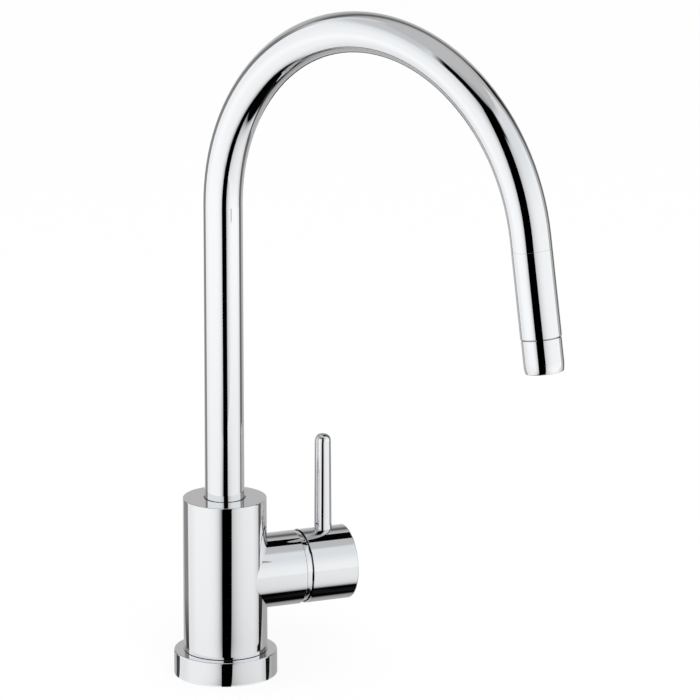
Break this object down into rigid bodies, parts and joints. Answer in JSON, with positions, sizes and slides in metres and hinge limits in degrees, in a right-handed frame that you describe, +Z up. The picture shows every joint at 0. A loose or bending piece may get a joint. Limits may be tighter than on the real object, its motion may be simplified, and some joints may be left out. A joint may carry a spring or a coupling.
{
  "type": "three way filtered water tap",
  "caption": "Deck mounted kitchen tap with a tall swan neck spout and one side lever, for hot, cold and filtered water.",
  "frame": {"origin": "where the body's upright axis meets the worktop's surface, under the base ring", "axes": "+Z up along the body and the spout's riser; the spout's outlet hangs over -Y at rest; the arm with the lever points 26.2 degrees from +X towards -Y"},
  "size_m": [0.1093, 0.2847, 0.4758],
  "materials": {
    "chrome": "polished chrome on brass",
    "brass": "machined",
    "stainless": "machined stainless steel",
    "zinc_steel": "bright zinc plated",
    "black_rubber": "moulded, matt",
    "grey_plastic": "moulded",
    "glide_plastic": "moulded acetal",
    "white_plastic": "moulded",
    "ceramic": "lapped"
  },
  "bodies": {
    "root": {"base_ring": "chrome", "base_gasket": "black_rubber", "inlet_block": "brass", "block_seal": "black_rubber", "fixing_stud": "zinc_steel", "horseshoe_gasket": "black_rubber", "horseshoe_plate": "zinc_steel", "fixing_nut": "brass", "body_shell": "chrome", "spout_lock_screw": "stainless", "filtered_nipple": "brass", "upper_glide_ring": "glide_plastic", "lower_glide_ring": "glide_plastic", "cartridge_base": "grey_plastic", "cartridge_base_seals": "black_rubber", "fixed_disc": "ceramic", "cartridge_housing": "grey_plastic", "cartridge_nut": "brass", "dome_ring": "chrome"},
    "rotor": {"cartridge_rotor": "grey_plastic", "stem_pivot_pin": "stainless"},
    "disc": {"moving_disc": "ceramic", "disc_carrier": "grey_plastic"},
    "lever": {"cartridge_stem": "stainless", "handle_cap": "chrome", "lever_pin": "chrome", "handle_grub_screw": "stainless"},
    "spout": {"spout_tube": "chrome", "spout_collar": "brass", "spout_o_rings": "black_rubber", "tube_union": "brass", "filtered_tube": "white_plastic", "outlet_bush": "brass", "outlet_sleeve": "chrome", "aerator_housing": "chrome", "aerator_washer": "black_rubber", "aerator_body": "white_plastic", "aerator_mesh": "stainless", "filtered_nozzle": "white_plastic"}
  },
  "joints": [
    {"name": "spout_swivel", "type": "hinge", "parent": "root", "child": "spout", "pos_m": [0, 0, 0.1], "axis": [0, 0, 1], "range_deg": [-86, 34]},
    {"name": "lever_turn", "type": "hinge", "parent": "root", "child": "rotor", "pos_m": [0.03966, -0.01951, 0.06], "axis": [0.8973, -0.4415, 0], "range_deg": [-90, 45]},
    {"name": "lever_tilt", "type": "hinge", "parent": "rotor", "child": "lever", "pos_m": [0.03966, -0.01951, 0.06], "axis": [0.4415, 0.8973, 0], "range_deg": [0, 9.5]},
    {"name": "disc_slide", "type": "slide", "parent": "rotor", "child": "disc", "axis": [0, 0, 1], "range_m": [0, 0.0019]}
  ],
  "couplings": [
    {"joint": "disc_slide", "follows": "lever_tilt", "m_per_rad": 0.01053}
  ]
}
